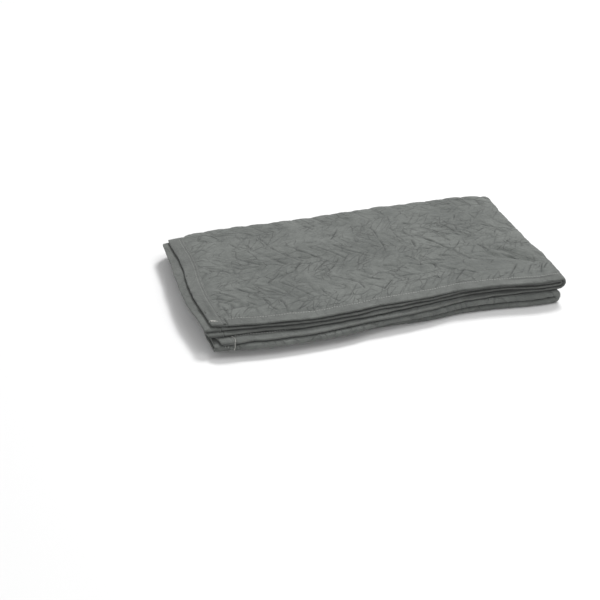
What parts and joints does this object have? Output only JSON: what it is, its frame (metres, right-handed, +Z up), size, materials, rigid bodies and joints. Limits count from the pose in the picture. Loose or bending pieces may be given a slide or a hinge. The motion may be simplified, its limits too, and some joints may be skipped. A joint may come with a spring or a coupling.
{
  "type": "insulated blanket",
  "caption": "Grey quilted blanket with taped edges, folded flat in halves, with its bound corners at one front corner.",
  "frame": {"origin": "middle of the folded blanket's underside", "axes": "+X along the longer side towards the cross fold, +Y from the open front edges to the back fold, +Z up"},
  "size_m": [0.7682, 0.417, 0.0595],
  "materials": {
    "quilted_cloth": "matt quilted cloth",
    "binding_tape": "matt woven tape"
  },
  "bodies": {
    "root": {"quilted_panel": "quilted_cloth", "near_side_binding": "binding_tape", "far_side_binding": "binding_tape", "first_end_binding": "binding_tape", "second_end_binding": "binding_tape"}
  },
  "joints": []
}
